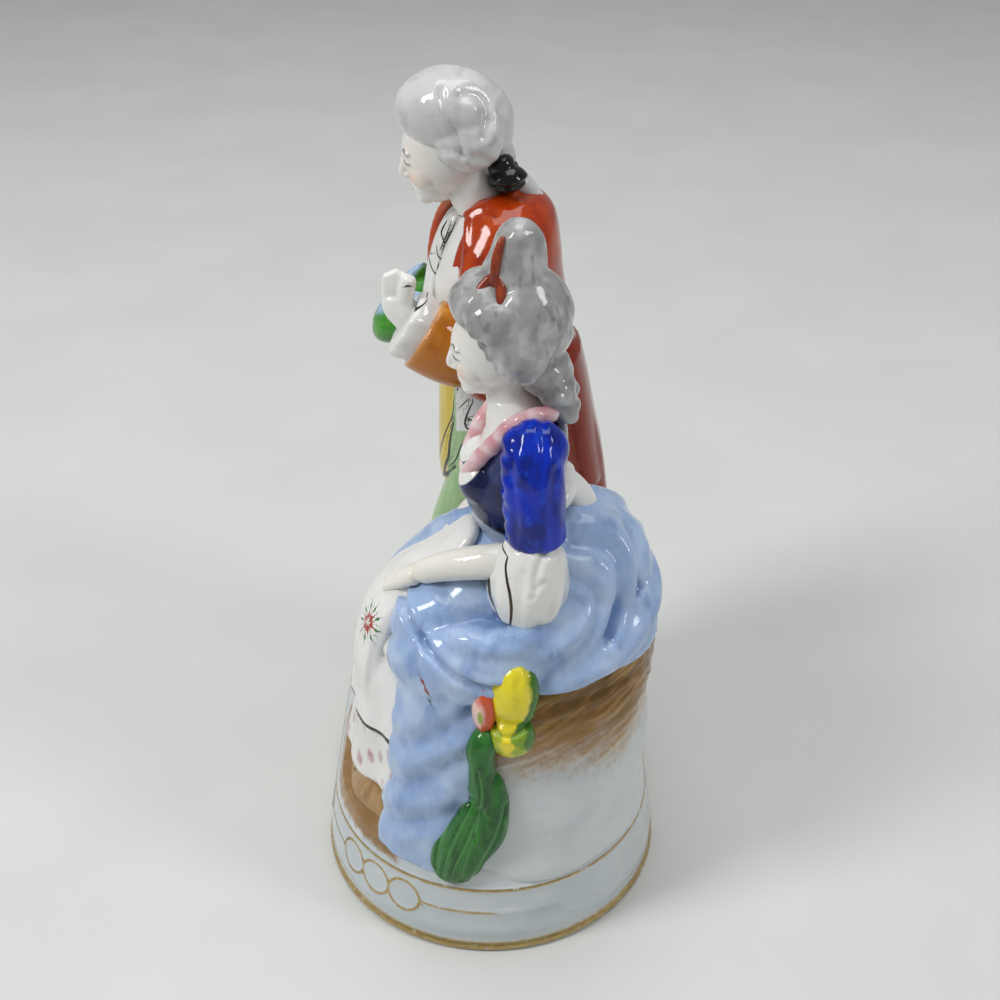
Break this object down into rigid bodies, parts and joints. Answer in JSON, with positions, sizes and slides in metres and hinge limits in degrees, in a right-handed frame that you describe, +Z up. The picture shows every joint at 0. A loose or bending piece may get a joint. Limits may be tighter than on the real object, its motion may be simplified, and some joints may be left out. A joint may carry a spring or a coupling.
{
  "type": "courting couple figurine",
  "caption": "Glazed porcelain group of a seated lady and a bowing gentleman in period dress, on a rocky oval plinth with gilt lines.",
  "frame": {"origin": "centre of the plinth's underside, on the surface that the figurine stands on", "axes": "+Z up; the figures face -Y; the lady sits at +X and the gentleman stands at -X"},
  "size_m": [0.1118, 0.0782, 0.1707],
  "materials": {
    "white porcelain": "clear glaze over white porcelain",
    "orange enamel": "glossy orange overglaze enamel, brushed on",
    "cobalt enamel": "glossy cobalt blue enamel with lighter mottles",
    "pale blue enamel": "thin pale blue enamel wash",
    "green enamel": "leaf green enamel",
    "yellow enamel": "thin yellow enamel",
    "brown wash": "brown enamel brushed thin over white glaze",
    "grey enamel": "mottled grey enamel of the hair",
    "black enamel": "glossy black enamel",
    "gilding": "worn burnished gold"
  },
  "bodies": {
    "root": {"courting_couple": "white porcelain"}
  },
  "joints": []
}
